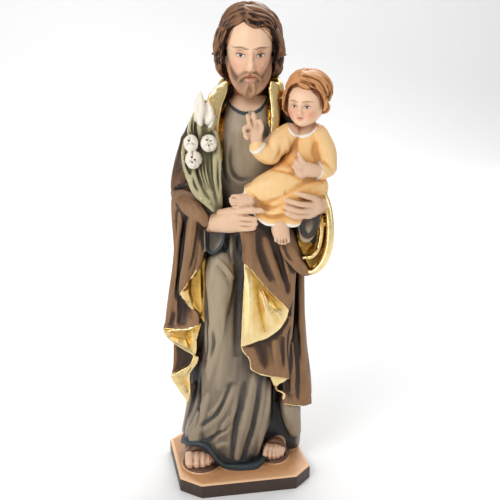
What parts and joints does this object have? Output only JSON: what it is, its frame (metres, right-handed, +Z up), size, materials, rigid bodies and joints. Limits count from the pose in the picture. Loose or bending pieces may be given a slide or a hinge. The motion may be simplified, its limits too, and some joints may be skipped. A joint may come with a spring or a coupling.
{
  "type": "carved saint statue",
  "caption": "Carved and painted wooden statue of a bearded saint in a gold-lined cloak who holds a child and lilies, on an eight-sided base.",
  "frame": {"origin": "centre of the base's underside", "axes": "+Z up, +X to the right of someone who faces the front of the base, +Y towards the statue's back"},
  "size_m": [0.1015, 0.0867, 0.2999],
  "materials": {
    "painted_wood": "satin oil paint and gold leaf on carved wood"
  },
  "bodies": {
    "root": {"statue": "painted_wood"}
  },
  "joints": []
}
